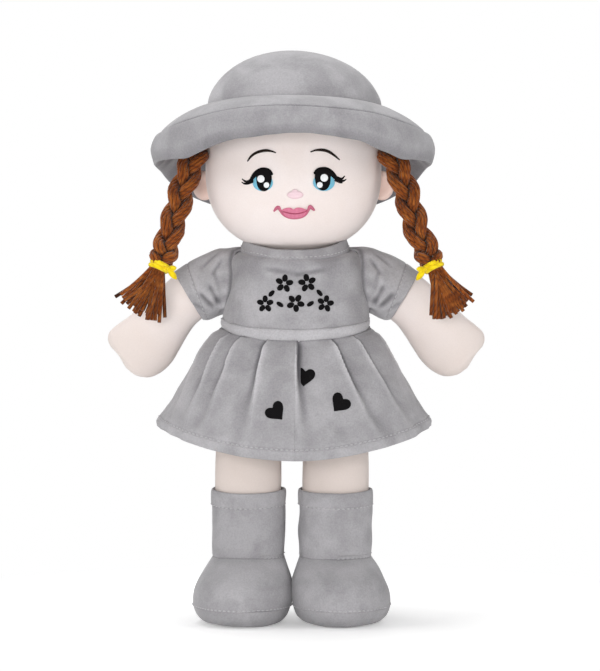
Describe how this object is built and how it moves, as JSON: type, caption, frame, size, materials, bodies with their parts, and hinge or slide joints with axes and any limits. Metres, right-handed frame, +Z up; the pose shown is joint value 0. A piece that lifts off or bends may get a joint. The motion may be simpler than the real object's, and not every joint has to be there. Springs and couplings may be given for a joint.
{
  "type": "rag doll",
  "caption": "Soft standing rag doll with a stuffed head, body and limbs, yarn braids, a padded hat, a gathered dress and soft boots.",
  "frame": {"origin": "on the floor, below the middle of the doll's box", "axes": "+Z up, -Y the way the doll faces, +X to its left hand, which is the picture's right"},
  "size_m": [0.251, 0.1782, 0.3935],
  "materials": {
    "grey_plush": "short-pile grey plush",
    "skin_velour": "cream velour",
    "pink_velour": "pale pink velour",
    "stuffing": "white fibre fill",
    "brown_yarn": "brown plied yarn",
    "yellow_yarn": "yellow yarn",
    "black_thread": "black satin-stitch thread",
    "pink_thread": "pink satin-stitch thread",
    "pale_pink_thread": "pale pink satin-stitch thread"
  },
  "bodies": {
    "torso": {"torso_skin": "skin_velour", "torso_stuffing": "stuffing", "bodice": "grey_plush", "collar_band": "grey_plush", "waistband": "grey_plush", "skirt_left": "grey_plush", "skirt_right": "grey_plush", "heart_top": "black_thread", "heart_left": "black_thread", "heart_right": "black_thread", "sleeve_left": "grey_plush", "sleeve_right": "grey_plush"},
    "head": {"head_skin": "skin_velour", "head_stuffing": "stuffing", "ear_left": "pink_velour", "ear_right": "pink_velour", "brow_left": "black_thread", "brow_right": "black_thread", "eye_left": "black_thread", "eye_right": "black_thread", "nose": "pale_pink_thread", "mouth": "pink_thread", "yarn_root_left": "brown_yarn", "yarn_root_right": "brown_yarn"},
    "hat": {"hat_crown": "grey_plush", "brim_upper": "grey_plush", "brim_wadding": "stuffing", "brim_under": "grey_plush"},
    "braid_left": {"braid_left_strand_1": "brown_yarn", "braid_left_strand_2": "brown_yarn", "braid_left_strand_3": "brown_yarn", "braid_left_tie": "yellow_yarn", "braid_left_knot": "yellow_yarn", "braid_left_tassel": "brown_yarn"},
    "arm_left": {"arm_left_skin": "skin_velour", "arm_left_stuffing": "stuffing"},
    "leg_left": {"leg_left_skin": "skin_velour", "leg_left_stuffing": "stuffing", "boot_left_cuff": "grey_plush", "boot_left_shaft": "grey_plush", "boot_left_foot": "grey_plush", "foot_left_stuffing": "stuffing", "boot_left_sole": "grey_plush"},
    "braid_right": {"braid_right_strand_1": "brown_yarn", "braid_right_strand_2": "brown_yarn", "braid_right_strand_3": "brown_yarn", "braid_right_tie": "yellow_yarn", "braid_right_knot": "yellow_yarn", "braid_right_tassel": "brown_yarn"},
    "arm_right": {"arm_right_skin": "skin_velour", "arm_right_stuffing": "stuffing"},
    "leg_right": {"leg_right_skin": "skin_velour", "leg_right_stuffing": "stuffing", "boot_right_cuff": "grey_plush", "boot_right_shaft": "grey_plush", "boot_right_foot": "grey_plush", "foot_right_stuffing": "stuffing", "boot_right_sole": "grey_plush"}
  },
  "joints": [
    {"name": "neck_turn", "type": "hinge", "parent": "torso", "child": "head", "pos_m": [-0.0024, 0, 0.2575], "axis": [0, 0, 1], "range_deg": [-8, 8]},
    {"name": "hat_lift", "type": "slide", "parent": "head", "child": "hat", "axis": [0, 0, 1], "range_m": [0, 0.12]},
    {"name": "braid_left_swing", "type": "hinge", "parent": "head", "child": "braid_left", "pos_m": [-0.0684, -0.012, 0.3305], "axis": [-1, 0, 0], "range_deg": [0, 28]},
    {"name": "braid_right_swing", "type": "hinge", "parent": "head", "child": "braid_right", "pos_m": [0.0636, -0.012, 0.3305], "axis": [-1, 0, 0], "range_deg": [0, 28]},
    {"name": "shoulder_left_lift", "type": "hinge", "parent": "torso", "child": "arm_left", "pos_m": [-0.05903, 0.006, 0.2365], "axis": [0, 1, 0], "range_deg": [-6, 90], "deforming": ["sleeve_left"]},
    {"name": "shoulder_right_lift", "type": "hinge", "parent": "torso", "child": "arm_right", "pos_m": [0.05903, 0.006, 0.2365], "axis": [0, -1, 0], "range_deg": [-6, 90], "deforming": ["sleeve_right"]},
    {"name": "hip_left_swing", "type": "hinge", "parent": "torso", "child": "leg_left", "pos_m": [-0.0334, 0, 0.1605], "axis": [-1, 0, 0], "range_deg": [-20, 90], "deforming": ["skirt_left", "heart_left"]},
    {"name": "hip_right_swing", "type": "hinge", "parent": "torso", "child": "leg_right", "pos_m": [0.0268, 0, 0.1605], "axis": [-1, 0, 0], "range_deg": [-20, 90], "deforming": ["skirt_right", "heart_right", "heart_top"]}
  ]
}
